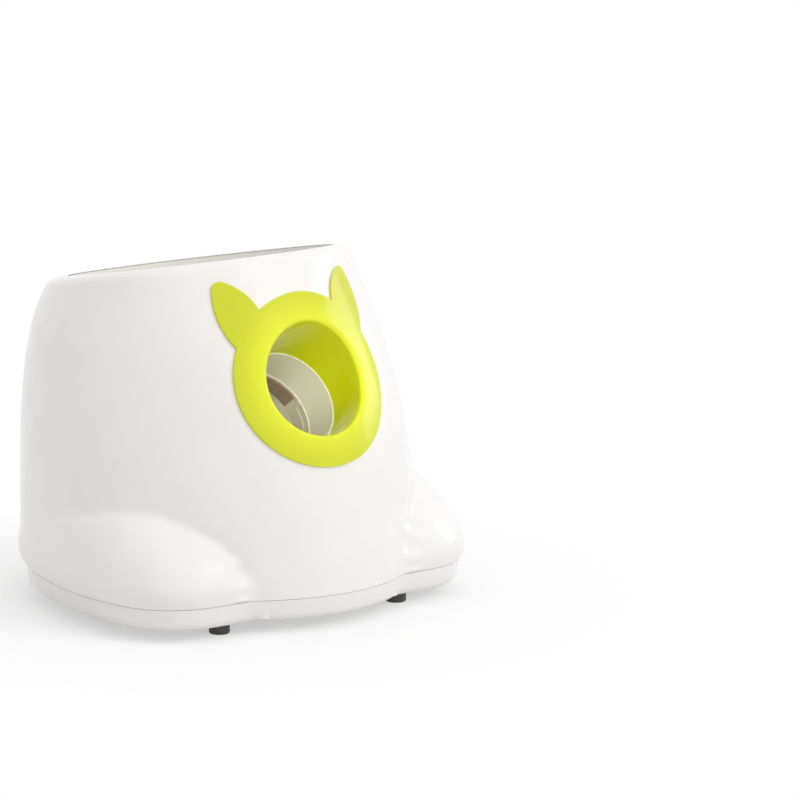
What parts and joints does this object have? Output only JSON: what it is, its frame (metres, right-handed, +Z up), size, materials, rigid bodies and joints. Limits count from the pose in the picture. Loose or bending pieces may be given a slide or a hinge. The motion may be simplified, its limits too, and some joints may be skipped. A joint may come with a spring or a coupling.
{
  "type": "automatic dog ball launcher",
  "caption": "Free-standing ball launcher for dogs: bell-shaped white housing with two haunches, open ball hopper on top and a round lime mouth with ears.",
  "frame": {"origin": "middle of the footprint, on the floor under the feet", "axes": "+Z up, -Y is the front with the mouth, +X is the launcher's own left side"},
  "size_m": [0.2418, 0.2261, 0.1988],
  "materials": {
    "shell_white": "gloss",
    "bowl_white": "gloss",
    "lime_plastic": "gloss",
    "liner_plastic": "satin",
    "gasket_rubber": "matt",
    "felt": "matt",
    "sensor_plastic": "satin",
    "hammer_plastic": "satin",
    "gear_plastic": "satin",
    "brass": "machined",
    "steel": "plated",
    "zinc_plate": "satin",
    "motor_can": "satin",
    "cell_jacket": "satin",
    "dark_plastic": "satin",
    "button_lime": "gloss",
    "lens": "clear",
    "board_green": "satin"
  },
  "bodies": {
    "housing": {"axle_bushes": "brass", "axle_clip": "steel", "ball_cradle": "liner_plastic", "ball_sensors": "sensor_plastic", "base_tray": "shell_white", "battery_cells_left": "cell_jacket", "battery_cells_right": "cell_jacket", "battery_contacts_left": "steel", "battery_contacts_right": "steel", "battery_door_left": "shell_white", "battery_door_right": "shell_white", "battery_holder_left": "dark_plastic", "battery_holder_right": "dark_plastic", "board_parts": "dark_plastic", "board_screws": "steel", "button_domes": "gasket_rubber", "buzzer": "dark_plastic", "control_bezel": "dark_plastic", "control_board": "board_green", "dc_jack": "dark_plastic", "door_screws": "steel", "felt_pads": "felt", "flange_screws": "steel", "gear_shafts": "steel", "gear_spacers": "steel", "hammer_axle": "steel", "hammer_spring": "steel", "hopper_bowl": "bowl_white", "housing_screws": "steel", "inner_plate": "zinc_plate", "left_bracket": "zinc_plate", "light_pipes": "lens", "middle_plate": "zinc_plate", "motor": "motor_can", "motor_screws": "steel", "mouth_liner": "liner_plastic", "mouth_trim": "lime_plastic", "outer_plate": "zinc_plate", "position_sensor": "dark_plastic", "rubber_feet": "gasket_rubber", "spacer_screws": "steel", "status_lamps": "lens", "stop_bumper": "gasket_rubber", "tact_switches": "dark_plastic", "tube_gasket": "gasket_rubber", "upper_shell": "shell_white"},
    "hammer": {"hammer_arm": "hammer_plastic", "hammer_pad": "gasket_rubber"},
    "drive_gear": {"drive_gear": "gear_plastic"},
    "second_gear": {"second_gear": "gear_plastic"},
    "first_gear": {"first_gear": "gear_plastic"},
    "motor_rotor": {"motor_pinion": "brass", "motor_shaft": "steel"},
    "power_button": {"power_button": "button_lime"},
    "distance_button": {"distance_button": "button_lime"}
  },
  "joints": [
    {"name": "hammer_swing", "type": "hinge", "parent": "housing", "child": "hammer", "pos_m": [0, -0.0206, 0.03267], "axis": [1, 0, 0], "range_deg": [0, 82], "deforming": ["hammer_spring"]},
    {"name": "drive_gear_turn", "type": "hinge", "parent": "housing", "child": "drive_gear", "pos_m": [0, 0.00331, 0.03476], "axis": [1, 0, 0], "range_deg": [-164, 0]},
    {"name": "second_gear_turn", "type": "hinge", "parent": "housing", "child": "second_gear", "pos_m": [0, 0.02559, 0.03242], "axis": [1, 0, 0], "range_deg": [0, 601.33]},
    {"name": "first_gear_turn", "type": "hinge", "parent": "housing", "child": "first_gear", "pos_m": [0, 0.03638, 0.04529], "axis": [1, 0, 0], "range_deg": [-2204.89, 0]},
    {"name": "motor_turn", "type": "hinge", "parent": "housing", "child": "motor_rotor", "pos_m": [0, 0.05145, 0.04125], "axis": [1, 0, 0], "range_deg": [0, 7349.63]},
    {"name": "power_button_press", "type": "slide", "parent": "housing", "child": "power_button", "axis": [0, -1, 0], "range_m": [0, 0.0012], "stiffness_N_per_m": 800, "springref_m": -0.0012, "deforming": ["button_domes"]},
    {"name": "distance_button_press", "type": "slide", "parent": "housing", "child": "distance_button", "axis": [0, -1, 0], "range_m": [0, 0.0012], "stiffness_N_per_m": 800, "springref_m": -0.0012, "deforming": ["button_domes"]}
  ],
  "couplings": [
    {"joint": "drive_gear_turn", "follows": "hammer_swing", "ratio": -2},
    {"joint": "second_gear_turn", "follows": "hammer_swing", "ratio": 7.3333},
    {"joint": "first_gear_turn", "follows": "hammer_swing", "ratio": -26.889},
    {"joint": "motor_turn", "follows": "hammer_swing", "ratio": 89.63}
  ]
}
